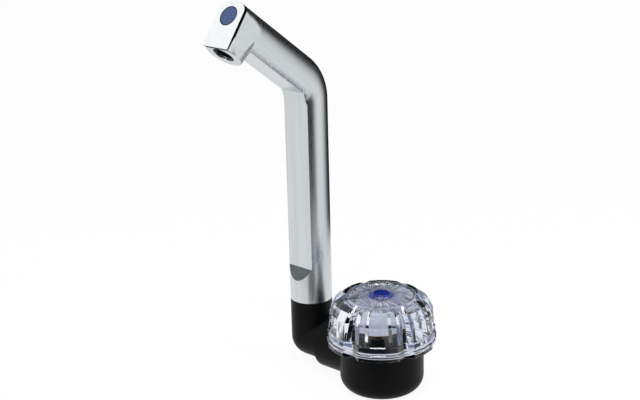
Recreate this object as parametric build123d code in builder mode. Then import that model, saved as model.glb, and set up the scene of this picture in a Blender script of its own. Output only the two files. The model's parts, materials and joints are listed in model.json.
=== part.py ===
from build123d import *
import os
from math import cos, radians, sin, sqrt, tan

# Folding deck tap with a single valve. Millimetres, +Z up.
# The origin is on the deck, under the knob's axis. The spout looks along -Y and its foot is towards -X.

# Driving dimensions: spout
TUBE_RADIUS = 11.0
FOOT_OFFSET = 48.5
SEAM_HEIGHT = 37.5
BEND_HEIGHT = 154.0
ARM_ELEVATION = 37.0
ARM_LENGTH = 66.0
BEND_RADIUS = 17.0
SPOUT_BORE_RADIUS = 4.5
FLAT_DEPTH = 7.5
ARM_FLAT_DEPTH = 8.0
FLAT_START = 57.0
RAMP_DROP = 7.0
FACET_BELOW = 5.2
FACET_ABOVE = 2.5

# Driving dimensions: head of the spout
NOZZLE_SETBACK = 7.3
NOZZLE_RADIUS = 9.4
NOZZLE_DRAFT = 9.0
NOZZLE_BORE_RADIUS = 4.0
NOZZLE_DROP = 14.0
NOZZLE_TILT = 5.0
SIDE_CUT_LENGTH = 13.0
HEAD_LEDGE = 0.4
OUTLET_RADIUS = 5.45
OUTLET_DEPTH = 9.0
INSERT_SINK = 1.2
INSERT_BARS = 3
PLATE_HALF_WIDTH = 8.2
PLATE_THICKNESS = 1.2
PLATE_EDGE = 0.25
PLATE_CORNER = 4.0
PEG_WIDTH = 2.0
PEG_LENGTH = 1.2
PEG_SPACING = 12.0
MARKER_RADIUS = 5.1
MARKER_RISE = 2.6
MARKER_THICKNESS = 0.8

# Driving dimensions: base, collar and elbow
BASE_RADIUS = 21.5
BASE_ROUNDING = 8.0
BASE_TOP = 25.0
BASE_EDGE = 0.8
NECK_RADIUS = 15.0
NECK_TOP = 34.0
FOLD_HEIGHT = 16.0
COLLAR_RADIUS = 13.8
COLLAR_BACKSET = 2.0
COLLAR_EDGE = 0.6
SOCKET_RADIUS = 9.0
SOCKET_DEPTH = 11.0
PASSAGE_RADIUS = 3.5
ELBOW_BORE_RADIUS = 4.5
SWIVEL_SOCKET_RADIUS = 7.5
SWIVEL_SOCKET_FLOOR = 24.0

# Driving dimensions: fixing under the deck
GASKET_THICKNESS = 1.5
GASKET_BAND = 2.0
DECK_GAP = 25.0
SHANK_RADIUS = 10.0
SHANK_LENGTH = 45.0
SHANK_BORE_RADIUS = 4.5
SHANK_HEAD_RADIUS = 8.6
SHANK_HEAD_LENGTH = 6.5
SHANK_CHAMFER = 0.8
WASHER_RADIUS = 18.0
WASHER_THICKNESS = 2.0
NUT_FLATS = 27.0
NUT_THICKNESS = 9.0
STEM_RADIUS = 6.0
STEM_LENGTH = 20.0
STEM_BORE_RADIUS = 4.0
STEM_FLANGE_RADIUS = 9.4
STEM_FLANGE_THICKNESS = 2.0
STEM_HEAD_RADIUS = 7.0
STEM_HEAD_LENGTH = 8.0

# Driving dimensions: valve
CHAMBER_RADIUS = 10.5
CHAMBER_FLOOR = 12.0
SEAT_FLANGE_RADIUS = 7.5
SEAT_FLANGE_THICKNESS = 2.5
SEAT_RADIUS = 6.0
SEAT_HEIGHT = 3.0
SEAT_BORE_RADIUS = 4.0
JUMPER_WASHER_RADIUS = 5.2
JUMPER_WASHER_THICKNESS = 2.5
JUMPER_PIN_RADIUS = 1.8
JUMPER_FLATS = 11.0
JUMPER_LENGTH = 8.0
VALVE_TRAVEL = 3.0
GLAND_BOTTOM = 20.0
GLAND_FLANGE_RADIUS = 12.0
GLAND_FLANGE_SEAT = 30.0
GLAND_TOP = 37.4
GLAND_BOSS_RADIUS = 6.4
SPINDLE_THREAD_RADIUS = 3.0
SPINDLE_SHOULDER_RADIUS = 5.3
SPINDLE_SHOULDER_THICKNESS = 1.6
SPINDLE_STEM_RADIUS = 4.0
SPINDLE_DRIVE_RADIUS = 3.5
SPINDLE_DRIVE_FLATS = 5.6
SPINDLE_TOP = 45.5
CLIP_THICKNESS = 0.8
CLIP_RADIUS = 5.6

# Driving dimensions: knob
KNOB_LOBES = 6
KNOB_TURN = -53.5
KNOB_BOTTOM = 25.9
KNOB_BAND_STEP = 29.6
KNOB_BAND_TOP = 33.7
KNOB_GIRTH = 43.5
KNOB_SHOULDER = 48.2
KNOB_TOP = 51.1
KNOB_RADIUS = 28.2
KNOB_BAND_RADIUS = 27.7
KNOB_BODY_RADIUS = 27.0
KNOB_GIRTH_RADIUS = 26.4
KNOB_SHOULDER_RADIUS = 24.0
KNOB_RIM_RADIUS = 19.8
LOBE_HALF_ANGLE = 20.5
LOBE_FACET_ANGLE = 7.0
BAND_NOTCH = 3.2
RIM_NOTCH = 1.6
CAVITY_SIDES = 12
CAVITY_RADIUS = 22.4
CAVITY_SHOULDER = 42.0
CAVITY_TOP = 47.0
CAVITY_TOP_RADIUS = 18.5
DISC_RADIUS = 17.4
DISC_THICKNESS = 2.2
RAYS = 24
RAY_START = 5.6
RAY_END = 16.2
RAY_DEPTH = 1.2
RAY_START_WIDTH = 1.3
RAY_END_WIDTH = 3.9
DOT_RADIUS = 4.4
DOT_PROUD = 0.9
INSERT_FLATS = 19.5
INSERT_BOSS_RADIUS = 7.0
INSERT_CUP_RADIUS = 7.8
INSERT_CUP_TOP = 39.2
KNOB_SCREW_RADIUS = 1.9
KNOB_SCREW_LENGTH = 8.0
KNOB_SCREW_HEAD_RADIUS = 3.4
KNOB_SCREW_HEAD_THICKNESS = 2.0
SCREW_WEB = 0.8

# Seals and small screws
RING_SECTION = 0.8
RING_SIDES = 5
HEX = 6
GRUB_RADIUS = 1.5
GRUB_SINK = 0.6
GRUB_GROOVE_DEPTH = 1.3
FOLD_SCREW_SETBACK = 2.4
FOLD_RING_SETBACKS = (5.6, 8.6)
SWIVEL_SCREW_DROP = 3.0
SWIVEL_RING_DROPS = (6.6, 10.2)
SPIGOT_RISE = 9.5
BAR = 1.2

# Clearances
RUNNING = 0.05
SEAL = 0.05
PRESS = 0.02
FACE_GAP = 0.2
ROOM = 0.3
THREAD = 0.04

# Places worked out from the driving dimensions
ACROSS = Vector(1, 0, 0)
ARM = Vector(0, -cos(radians(ARM_ELEVATION)), sin(radians(ARM_ELEVATION)))
LIFT = Vector(0, sin(radians(ARM_ELEVATION)), cos(radians(ARM_ELEVATION)))
BEND = Vector(-FOOT_OFFSET, 0, BEND_HEIGHT)
PLATE_BACK = BEND + ARM * (ARM_LENGTH - PLATE_THICKNESS)
POUR = ARM * sin(radians(NOZZLE_TILT)) - LIFT * cos(radians(NOZZLE_TILT))
NOZZLE_LEAN = NOZZLE_SETBACK * tan(radians(NOZZLE_TILT))
NOZZLE_MOUTH = BEND + ARM * (ARM_LENGTH - NOZZLE_SETBACK) - LIFT * (NOZZLE_DROP + NOZZLE_LEAN)
foot_plane = Plane((-FOOT_OFFSET, 0, 0))
fold_plane = Plane(origin=(0, 0, FOLD_HEIGHT), x_dir=(0, 1, 0), z_dir=(-1, 0, 0))
swivel_screw_plane = Plane(origin=(-FOOT_OFFSET, 0, SEAM_HEIGHT - SWIVEL_SCREW_DROP), z_dir=(0, 1, 0))
plate_plane = Plane(origin=PLATE_BACK, x_dir=ACROSS, z_dir=ARM)
nozzle_plane = Plane(origin=NOZZLE_MOUTH, x_dir=ACROSS, z_dir=POUR)
COLLAR_END = FOOT_OFFSET - TUBE_RADIUS - COLLAR_BACKSET
SEAT_TOP = CHAMBER_FLOOR + SEAT_HEIGHT
JUMPER_BOTTOM = SEAT_TOP + JUMPER_WASHER_THICKNESS
JUMPER_TOP = JUMPER_BOTTOM + JUMPER_LENGTH
SPINDLE_BOTTOM = JUMPER_BOTTOM + SCREW_WEB + VALVE_TRAVEL + ROOM
SHOULDER_BOTTOM = JUMPER_TOP + VALVE_TRAVEL + ROOM * 2
SHOULDER_TOP = SHOULDER_BOTTOM + SPINDLE_SHOULDER_THICKNESS
GLAND_RING_PLACES = (SHOULDER_TOP + 2 * RING_SECTION, GLAND_TOP - 2 * RING_SECTION)
GLAND_GROOVE_PLACE = GLAND_FLANGE_SEAT - 2 * RING_SECTION
CLIP_BOTTOM = GLAND_TOP + FACE_GAP
DRIVE_BOTTOM = CLIP_BOTTOM + CLIP_THICKNESS + FACE_GAP
DISC_FLOOR = KNOB_TOP - DISC_THICKNESS
INSERT_BOTTOM = NECK_TOP + 2 * ROOM
HEAD_SEAT = SPINDLE_TOP + FACE_GAP + SCREW_WEB
NUT_TOP = -DECK_GAP - WASHER_THICKNESS
STEM_FLANGE_BOTTOM = -SHANK_LENGTH - STEM_FLANGE_THICKNESS
STEM_RING_PLACE = STEM_HEAD_LENGTH / 2 - SHANK_LENGTH
SPIGOT_BOTTOM = SWIVEL_SOCKET_FLOOR + ROOM
SPIGOT_TOP = SEAM_HEIGHT + SPIGOT_RISE
GROOVE_HALF = RING_SECTION + ROOM / 2
CLEAR_OF_BAR = 3 * TUBE_RADIUS


def ring_section(seal_radius, height):
    """Corner points of a seal ring's section: a round one, drawn with a few flats."""
    middle = seal_radius - SEAL - RING_SECTION
    turns = [radians(360 * step / RING_SIDES) for step in range(RING_SIDES)]
    return [(middle + RING_SECTION * cos(turn), height + RING_SECTION * sin(turn)) for turn in turns]


def groove_floor(seal_radius):
    """Radius of the floor of a seal ring's groove, on a shaft in a bore of seal_radius."""
    return seal_radius - 2 * (SEAL + RING_SECTION)


def lobed_outline(radius, notch):
    """Corner points of the knob's section: three flats to each lobe, and a V notch between two lobes."""
    points = []
    for lobe in range(KNOB_LOBES):
        middle = KNOB_TURN + lobe * 360 / KNOB_LOBES
        for turn in (-LOBE_HALF_ANGLE, -LOBE_FACET_ANGLE, LOBE_FACET_ANGLE, LOBE_HALF_ANGLE):
            points.append((radius, middle + turn))
        points.append((radius - notch, middle + 180 / KNOB_LOBES))
    return [(r * cos(radians(a)), r * sin(radians(a))) for r, a in points]


os.makedirs("parts", exist_ok=True)

# Base housing: round body, neck, collar for the fold, valve chamber and water ways
with BuildPart() as base_housing:
    with BuildSketch():
        Circle(BASE_RADIUS)
    extrude(amount=BASE_TOP)
    fillet(base_housing.edges().group_by(Axis.Z)[0], BASE_ROUNDING)
    chamfer(base_housing.edges().group_by(Axis.Z)[-1], BASE_EDGE)
    with BuildSketch(fold_plane):
        Circle(COLLAR_RADIUS)
    extrude(amount=COLLAR_END)
    chamfer(base_housing.faces().sort_by(Axis.X)[0].edges(), COLLAR_EDGE)
    with BuildSketch(Plane.XY.offset(BASE_TOP)):
        Circle(KNOB_RADIUS + KNOB_BOTTOM - BASE_TOP)
    extrude(amount=NECK_TOP - BASE_TOP, mode=Mode.SUBTRACT)
    with BuildSketch(Plane.XY.offset(BASE_TOP)):
        Circle(NECK_RADIUS)
    extrude(amount=NECK_TOP - BASE_TOP)
    # valve chamber, gland seat and pocket of the valve seat
    with BuildSketch(Plane.XY.offset(CHAMBER_FLOOR)):
        Circle(CHAMBER_RADIUS)
    extrude(amount=NECK_TOP - CHAMBER_FLOOR, mode=Mode.SUBTRACT)
    with BuildSketch(Plane.XY.offset(GLAND_FLANGE_SEAT)):
        Circle(GLAND_FLANGE_RADIUS + RUNNING)
    extrude(amount=NECK_TOP - GLAND_FLANGE_SEAT, mode=Mode.SUBTRACT)
    with BuildSketch(Plane.XY.offset(CHAMBER_FLOOR - SEAT_FLANGE_THICKNESS)):
        Circle(SEAT_FLANGE_RADIUS + PRESS)
    extrude(amount=SEAT_FLANGE_THICKNESS, mode=Mode.SUBTRACT)
    # gasket recess, hole of the shank and inlet
    with BuildSketch():
        Circle(SHANK_RADIUS + ROOM + GASKET_BAND + RUNNING)
    extrude(amount=GASKET_THICKNESS, mode=Mode.SUBTRACT)
    with BuildSketch(Plane.XY.offset(GASKET_THICKNESS)):
        Circle(SHANK_HEAD_RADIUS + THREAD)
    extrude(amount=SHANK_HEAD_LENGTH, mode=Mode.SUBTRACT)
    with BuildSketch():
        Circle(SHANK_BORE_RADIUS)
    extrude(amount=CHAMBER_FLOOR, mode=Mode.SUBTRACT)
    # way out to the collar, and the socket of the elbow
    with BuildSketch(fold_plane):
        Circle(PASSAGE_RADIUS)
    extrude(amount=COLLAR_END, mode=Mode.SUBTRACT)
    with BuildSketch(fold_plane.offset(COLLAR_END - SOCKET_DEPTH)):
        Circle(SOCKET_RADIUS)
    extrude(amount=SOCKET_DEPTH, mode=Mode.SUBTRACT)
    # tapped hole of the screw that keeps the elbow in
    with BuildSketch(Plane.XY.offset(FOLD_HEIGHT)):
        with Locations((FOLD_SCREW_SETBACK - COLLAR_END, 0)):
            Circle(GRUB_RADIUS + THREAD)
    extrude(amount=-COLLAR_RADIUS, mode=Mode.SUBTRACT)
base_housing.part.label = "base_housing"
export_step(base_housing.part, "parts/base_housing.step")

with BuildPart() as fold_grub_screw:
    with BuildSketch(Plane.XY.offset(FOLD_HEIGHT - COLLAR_RADIUS + GRUB_SINK)):
        with Locations((FOLD_SCREW_SETBACK - COLLAR_END, 0)):
            Circle(GRUB_RADIUS)
    extrude(amount=COLLAR_RADIUS - GRUB_SINK - SOCKET_RADIUS + GRUB_GROOVE_DEPTH - ROOM)
    with BuildSketch(Plane.XY.offset(FOLD_HEIGHT - COLLAR_RADIUS + GRUB_SINK)):
        with Locations((FOLD_SCREW_SETBACK - COLLAR_END, 0)):
            RegularPolygon(GRUB_RADIUS / 2, HEX)
    extrude(amount=GRUB_RADIUS, mode=Mode.SUBTRACT)
fold_grub_screw.part.label = "fold_grub_screw"
export_step(fold_grub_screw.part, "parts/fold_grub_screw.step")

# Fixing under the deck
with BuildPart() as base_gasket:
    with BuildSketch():
        Circle(SHANK_RADIUS + ROOM + GASKET_BAND)
        Circle(SHANK_RADIUS + ROOM, mode=Mode.SUBTRACT)
    extrude(amount=GASKET_THICKNESS)
base_gasket.part.label = "base_gasket"
export_step(base_gasket.part, "parts/base_gasket.step")

with BuildPart() as threaded_shank:
    with BuildSketch(Plane.XY.offset(-SHANK_LENGTH)):
        Circle(SHANK_RADIUS)
    extrude(amount=SHANK_LENGTH + GASKET_THICKNESS)
    chamfer(threaded_shank.edges().group_by(Axis.Z)[0], SHANK_CHAMFER)
    with BuildSketch(Plane.XY.offset(GASKET_THICKNESS)):
        Circle(SHANK_HEAD_RADIUS)
    extrude(amount=SHANK_HEAD_LENGTH)
    with BuildSketch(Plane.XY.offset(-SHANK_LENGTH)):
        Circle(SHANK_BORE_RADIUS)
    extrude(amount=SHANK_LENGTH + GASKET_THICKNESS + SHANK_HEAD_LENGTH, mode=Mode.SUBTRACT)
    with BuildSketch(Plane.XY.offset(-SHANK_LENGTH)):
        Circle(STEM_HEAD_RADIUS + THREAD)
    extrude(amount=STEM_HEAD_LENGTH + FACE_GAP, mode=Mode.SUBTRACT)
threaded_shank.part.label = "threaded_shank"
export_step(threaded_shank.part, "parts/threaded_shank.step")

with BuildPart() as clamping_washer:
    with BuildSketch(Plane.XY.offset(NUT_TOP)):
        Circle(WASHER_RADIUS)
        Circle(SHANK_RADIUS + ROOM, mode=Mode.SUBTRACT)
    extrude(amount=WASHER_THICKNESS)
clamping_washer.part.label = "clamping_washer"
export_step(clamping_washer.part, "parts/clamping_washer.step")

with BuildPart() as lock_nut:
    with BuildSketch(Plane.XY.offset(NUT_TOP)):
        RegularPolygon(NUT_FLATS / 2, HEX, major_radius=False)
        Circle(SHANK_RADIUS + THREAD, mode=Mode.SUBTRACT)
    extrude(amount=-NUT_THICKNESS)
lock_nut.part.label = "lock_nut"
export_step(lock_nut.part, "parts/lock_nut.step")

with BuildPart() as inlet_stem:
    with BuildSketch(Plane.XZ):
        with BuildLine():
            groove = groove_floor(STEM_HEAD_RADIUS + THREAD)
            Polyline(
                (STEM_BORE_RADIUS, STEM_FLANGE_BOTTOM - STEM_LENGTH),
                (STEM_RADIUS, STEM_FLANGE_BOTTOM - STEM_LENGTH),
                (STEM_RADIUS, STEM_FLANGE_BOTTOM),
                (STEM_FLANGE_RADIUS, STEM_FLANGE_BOTTOM),
                (STEM_FLANGE_RADIUS, -SHANK_LENGTH),
                (STEM_HEAD_RADIUS, -SHANK_LENGTH),
                (STEM_HEAD_RADIUS, STEM_RING_PLACE - GROOVE_HALF),
                (groove, STEM_RING_PLACE - GROOVE_HALF),
                (groove, STEM_RING_PLACE + GROOVE_HALF),
                (STEM_HEAD_RADIUS, STEM_RING_PLACE + GROOVE_HALF),
                (STEM_HEAD_RADIUS, STEM_HEAD_LENGTH - SHANK_LENGTH),
                (STEM_BORE_RADIUS, STEM_HEAD_LENGTH - SHANK_LENGTH),
                close=True,
            )
        make_face()
    revolve(axis=Axis.Z)
inlet_stem.part.label = "inlet_stem"
export_step(inlet_stem.part, "parts/inlet_stem.step")

with BuildPart() as stem_o_ring:
    with BuildSketch(Plane.XZ):
        Polygon(*ring_section(STEM_HEAD_RADIUS + THREAD, STEM_RING_PLACE), align=None)
    revolve(axis=Axis.Z)
stem_o_ring.part.label = "stem_o_ring"
export_step(stem_o_ring.part, "parts/stem_o_ring.step")

# Valve: seat, jumper with its washer, gland and spindle
with BuildPart() as seat_insert:
    with BuildSketch(Plane.XY.offset(CHAMBER_FLOOR - SEAT_FLANGE_THICKNESS)):
        Circle(SEAT_FLANGE_RADIUS)
    extrude(amount=SEAT_FLANGE_THICKNESS)
    with BuildSketch(Plane.XY.offset(CHAMBER_FLOOR)):
        Circle(SEAT_RADIUS)
    extrude(amount=SEAT_HEIGHT)
    with BuildSketch(Plane.XY.offset(CHAMBER_FLOOR - SEAT_FLANGE_THICKNESS)):
        Circle(SEAT_BORE_RADIUS)
    extrude(amount=SEAT_FLANGE_THICKNESS + SEAT_HEIGHT, mode=Mode.SUBTRACT)
seat_insert.part.label = "seat_insert"
export_step(seat_insert.part, "parts/seat_insert.step")

with BuildPart() as jumper_washer:
    with BuildSketch(Plane.XY.offset(SEAT_TOP)):
        Circle(JUMPER_WASHER_RADIUS)
        Circle(JUMPER_PIN_RADIUS + PRESS, mode=Mode.SUBTRACT)
    extrude(amount=JUMPER_WASHER_THICKNESS)
jumper_washer.part.label = "jumper_washer"
export_step(jumper_washer.part, "parts/jumper_washer.step")

with BuildPart() as valve_jumper:
    with BuildSketch(Plane.XY.offset(JUMPER_BOTTOM)):
        RegularPolygon(JUMPER_FLATS / 2, HEX, major_radius=False)
    extrude(amount=JUMPER_LENGTH)
    with BuildSketch(Plane.XY.offset(SEAT_TOP - BAR)):
        Circle(JUMPER_PIN_RADIUS)
    extrude(amount=JUMPER_WASHER_THICKNESS + BAR)
    with BuildSketch(Plane.XY.offset(JUMPER_BOTTOM + SCREW_WEB)):
        Circle(SPINDLE_THREAD_RADIUS + RUNNING)
    extrude(amount=JUMPER_LENGTH - SCREW_WEB, mode=Mode.SUBTRACT)
valve_jumper.part.label = "valve_jumper"
export_step(valve_jumper.part, "parts/valve_jumper.step")

with BuildPart() as gland_body:
    with BuildSketch(Plane.XY.offset(GLAND_BOTTOM)):
        Circle(CHAMBER_RADIUS - THREAD)
    extrude(amount=GLAND_FLANGE_SEAT - GLAND_BOTTOM)
    with BuildSketch(Plane.XY.offset(GLAND_FLANGE_SEAT)):
        Circle(GLAND_FLANGE_RADIUS)
    extrude(amount=NECK_TOP - GLAND_FLANGE_SEAT - ROOM)
    with BuildSketch(Plane.XY.offset(NECK_TOP - ROOM)):
        Circle(GLAND_BOSS_RADIUS)
    extrude(amount=GLAND_TOP - NECK_TOP + ROOM)
    with BuildSketch(Plane.XY.offset(GLAND_BOTTOM)):
        RegularPolygon(JUMPER_FLATS / 2 + RUNNING, HEX, major_radius=False)
    extrude(amount=SHOULDER_TOP + RUNNING - GLAND_BOTTOM, mode=Mode.SUBTRACT)
    with BuildSketch(Plane.XY.offset(GLAND_BOTTOM)):
        Circle(SPINDLE_STEM_RADIUS + RUNNING)
    extrude(amount=GLAND_TOP - GLAND_BOTTOM, mode=Mode.SUBTRACT)
    # groove of the gland's own seal, under its flange
    with BuildSketch(Plane.XY.offset(GLAND_GROOVE_PLACE - GROOVE_HALF)):
        Circle(CHAMBER_RADIUS)
        Circle(groove_floor(CHAMBER_RADIUS), mode=Mode.SUBTRACT)
    extrude(amount=2 * GROOVE_HALF, mode=Mode.SUBTRACT)
gland_body.part.label = "gland_body"
export_step(gland_body.part, "parts/gland_body.step")

with BuildPart() as gland_o_ring:
    with BuildSketch(Plane.XZ):
        Polygon(*ring_section(CHAMBER_RADIUS, GLAND_GROOVE_PLACE), align=None)
    revolve(axis=Axis.Z)
gland_o_ring.part.label = "gland_o_ring"
export_step(gland_o_ring.part, "parts/gland_o_ring.step")

with BuildPart() as valve_spindle:
    with BuildSketch(Plane.XY.offset(SPINDLE_BOTTOM)):
        Circle(SPINDLE_THREAD_RADIUS)
    extrude(amount=SHOULDER_BOTTOM - SPINDLE_BOTTOM)
    with BuildSketch(Plane.XY.offset(SHOULDER_BOTTOM)):
        Circle(SPINDLE_SHOULDER_RADIUS)
    extrude(amount=SPINDLE_SHOULDER_THICKNESS)
    with BuildSketch(Plane.XY.offset(SHOULDER_TOP)):
        Circle(SPINDLE_STEM_RADIUS)
    extrude(amount=DRIVE_BOTTOM - SHOULDER_TOP)
    # the drive has two flats that the knob's insert grips
    with BuildSketch(Plane.XY.offset(DRIVE_BOTTOM)):
        Circle(SPINDLE_DRIVE_RADIUS)
        Rectangle(SPINDLE_DRIVE_FLATS, 2 * SPINDLE_DRIVE_RADIUS, mode=Mode.INTERSECT)
    extrude(amount=SPINDLE_TOP - DRIVE_BOTTOM)
    with BuildSketch(Plane.XY.offset(SPINDLE_TOP)):
        Circle(KNOB_SCREW_RADIUS + THREAD)
    extrude(amount=-KNOB_SCREW_LENGTH, mode=Mode.SUBTRACT)
    for place in GLAND_RING_PLACES:
        with BuildSketch(Plane.XY.offset(place - GROOVE_HALF)):
            Circle(SPINDLE_STEM_RADIUS + RUNNING)
            Circle(groove_floor(SPINDLE_STEM_RADIUS + RUNNING), mode=Mode.SUBTRACT)
        extrude(amount=2 * GROOVE_HALF, mode=Mode.SUBTRACT)
    with BuildSketch(Plane.XY.offset(CLIP_BOTTOM)):
        Circle(SPINDLE_STEM_RADIUS + RUNNING)
        Circle(SPINDLE_STEM_RADIUS - SCREW_WEB, mode=Mode.SUBTRACT)
    extrude(amount=CLIP_THICKNESS, mode=Mode.SUBTRACT)
valve_spindle.part.label = "valve_spindle"
export_step(valve_spindle.part, "parts/valve_spindle.step")

with BuildPart() as spindle_o_rings:
    with BuildSketch(Plane.XZ):
        for place in GLAND_RING_PLACES:
            Polygon(*ring_section(SPINDLE_STEM_RADIUS + RUNNING, place), align=None)
    revolve(axis=Axis.Z)
spindle_o_rings.part.label = "spindle_o_rings"
export_step(spindle_o_rings.part, "parts/spindle_o_rings.step")

with BuildPart() as spindle_clip:
    with BuildSketch(Plane.XY.offset(CLIP_BOTTOM)):
        Circle(CLIP_RADIUS)
        Circle(SPINDLE_STEM_RADIUS - SCREW_WEB + PRESS, mode=Mode.SUBTRACT)
        with Locations((CLIP_RADIUS, 0)):
            Rectangle(2 * CLIP_RADIUS, SPINDLE_STEM_RADIUS, mode=Mode.SUBTRACT)
    extrude(amount=CLIP_THICKNESS)
spindle_clip.part.label = "spindle_clip"
export_step(spindle_clip.part, "parts/spindle_clip.step")

# Knob: clear faceted shell, frosted insert, ray disc, dot and screw
with BuildPart() as crystal_knob:
    with BuildSketch(Plane.XY.offset(KNOB_BOTTOM)):
        Polygon(*lobed_outline(KNOB_RADIUS, BAND_NOTCH), align=None)
    extrude(amount=KNOB_BAND_STEP - KNOB_BOTTOM)
    with BuildSketch(Plane.XY.offset(KNOB_BAND_STEP)):
        Polygon(*lobed_outline(KNOB_BAND_RADIUS, BAND_NOTCH), align=None)
    extrude(amount=KNOB_BAND_TOP - KNOB_BAND_STEP)
    body_sections = (
        (KNOB_BAND_TOP, KNOB_BODY_RADIUS, BAND_NOTCH),
        (KNOB_GIRTH, KNOB_GIRTH_RADIUS, BAND_NOTCH),
        (KNOB_SHOULDER, KNOB_SHOULDER_RADIUS, BAND_NOTCH),
        (KNOB_TOP, KNOB_RIM_RADIUS, RIM_NOTCH),
    )
    for low, high in zip(body_sections, body_sections[1:]):
        for height, radius, notch in (low, high):
            with BuildSketch(Plane.XY.offset(height)):
                Polygon(*lobed_outline(radius, notch), align=None)
        loft(ruled=True)
    # the hollow has flat sides, and draws in under the shoulder
    with BuildSketch(Plane.XY.offset(KNOB_BOTTOM)):
        RegularPolygon(CAVITY_RADIUS, CAVITY_SIDES, rotation=KNOB_TURN + 180 / CAVITY_SIDES)
    extrude(amount=CAVITY_SHOULDER - KNOB_BOTTOM, mode=Mode.SUBTRACT)
    for height, radius in ((CAVITY_SHOULDER, CAVITY_RADIUS), (CAVITY_TOP, CAVITY_TOP_RADIUS)):
        with BuildSketch(Plane.XY.offset(height)):
            RegularPolygon(radius, CAVITY_SIDES, rotation=KNOB_TURN + 180 / CAVITY_SIDES)
    loft(ruled=True, mode=Mode.SUBTRACT)
    # seat of the ray disc and hole for the insert's boss
    with BuildSketch(Plane.XY.offset(DISC_FLOOR)):
        Circle(DISC_RADIUS + RUNNING)
    extrude(amount=DISC_THICKNESS, mode=Mode.SUBTRACT)
    with BuildSketch(Plane.XY.offset(CAVITY_TOP)):
        Circle(INSERT_BOSS_RADIUS + PRESS)
    extrude(amount=DISC_FLOOR - CAVITY_TOP, mode=Mode.SUBTRACT)
crystal_knob.part.label = "crystal_knob"
export_step(crystal_knob.part, "parts/crystal_knob.step")

with BuildPart() as knob_insert:
    with BuildSketch(Plane.XY.offset(INSERT_BOTTOM)):
        RegularPolygon(INSERT_FLATS / 2, HEX, major_radius=False, rotation=KNOB_TURN + 180 / HEX)
    extrude(amount=CAVITY_TOP - INSERT_BOTTOM)
    with BuildSketch(Plane.XY.offset(CAVITY_TOP)):
        Circle(INSERT_BOSS_RADIUS)
    extrude(amount=DISC_FLOOR - CAVITY_TOP - FACE_GAP)
    with BuildSketch(Plane.XY.offset(INSERT_BOTTOM)):
        Circle(INSERT_CUP_RADIUS)
    extrude(amount=INSERT_CUP_TOP - INSERT_BOTTOM, mode=Mode.SUBTRACT)
    with BuildSketch(Plane.XY.offset(INSERT_CUP_TOP)):
        Circle(SPINDLE_DRIVE_RADIUS + RUNNING)
        Rectangle(SPINDLE_DRIVE_FLATS + 2 * RUNNING, 3 * SPINDLE_DRIVE_RADIUS, mode=Mode.INTERSECT)
    extrude(amount=SPINDLE_TOP + FACE_GAP - INSERT_CUP_TOP, mode=Mode.SUBTRACT)
    with BuildSketch(Plane.XY.offset(SPINDLE_TOP)):
        Circle(KNOB_SCREW_RADIUS + FACE_GAP)
    extrude(amount=KNOB_TOP - SPINDLE_TOP, mode=Mode.SUBTRACT)
    with BuildSketch(Plane.XY.offset(HEAD_SEAT)):
        Circle(KNOB_SCREW_HEAD_RADIUS + ROOM)
    extrude(amount=KNOB_TOP - HEAD_SEAT, mode=Mode.SUBTRACT)
knob_insert.part.label = "knob_insert"
export_step(knob_insert.part, "parts/knob_insert.step")

with BuildPart() as knob_screw:
    with BuildSketch(Plane.XY.offset(HEAD_SEAT)):
        Circle(KNOB_SCREW_HEAD_RADIUS)
    extrude(amount=KNOB_SCREW_HEAD_THICKNESS)
    with BuildSketch(Plane.XY.offset(HEAD_SEAT)):
        Circle(KNOB_SCREW_RADIUS)
    extrude(amount=-(KNOB_SCREW_LENGTH - ROOM))
    with BuildSketch(Plane.XY.offset(HEAD_SEAT + KNOB_SCREW_HEAD_THICKNESS)):
        Rectangle(2 * KNOB_SCREW_HEAD_RADIUS, SCREW_WEB)
    extrude(amount=-SCREW_WEB, mode=Mode.SUBTRACT)
knob_screw.part.label = "knob_screw"
export_step(knob_screw.part, "parts/knob_screw.step")

# the disc's rays are grooves in its underside, each a little wider outwards
with BuildPart() as ray_groove:
    for reach, width in ((RAY_START, RAY_START_WIDTH), (RAY_END, RAY_END_WIDTH)):
        with BuildSketch(Plane.YZ.offset(reach)):
            with BuildLine():
                Polyline(
                    (-width / 2, DISC_FLOOR), (width / 2, DISC_FLOOR), (0, DISC_FLOOR + RAY_DEPTH), close=True
                )
            make_face()
    loft(ruled=True)

with BuildPart() as index_disc:
    with BuildSketch(Plane.XY.offset(DISC_FLOOR)):
        Circle(DISC_RADIUS)
        Circle(DOT_RADIUS + PRESS, mode=Mode.SUBTRACT)
    extrude(amount=DISC_THICKNESS)
    with PolarLocations(0, RAYS, start_angle=KNOB_TURN):
        add(ray_groove.part, mode=Mode.SUBTRACT)
index_disc.part.label = "index_disc"
export_step(index_disc.part, "parts/index_disc.step")

with BuildPart() as index_dot:
    with BuildSketch(Plane.XY.offset(DISC_FLOOR)):
        Circle(DOT_RADIUS)
    extrude(amount=DISC_THICKNESS + DOT_PROUD)
    chamfer(index_dot.edges().group_by(Axis.Z)[-1], DOT_PROUD / 3)
index_dot.part.label = "index_dot"
export_step(index_dot.part, "parts/index_dot.step")

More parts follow.
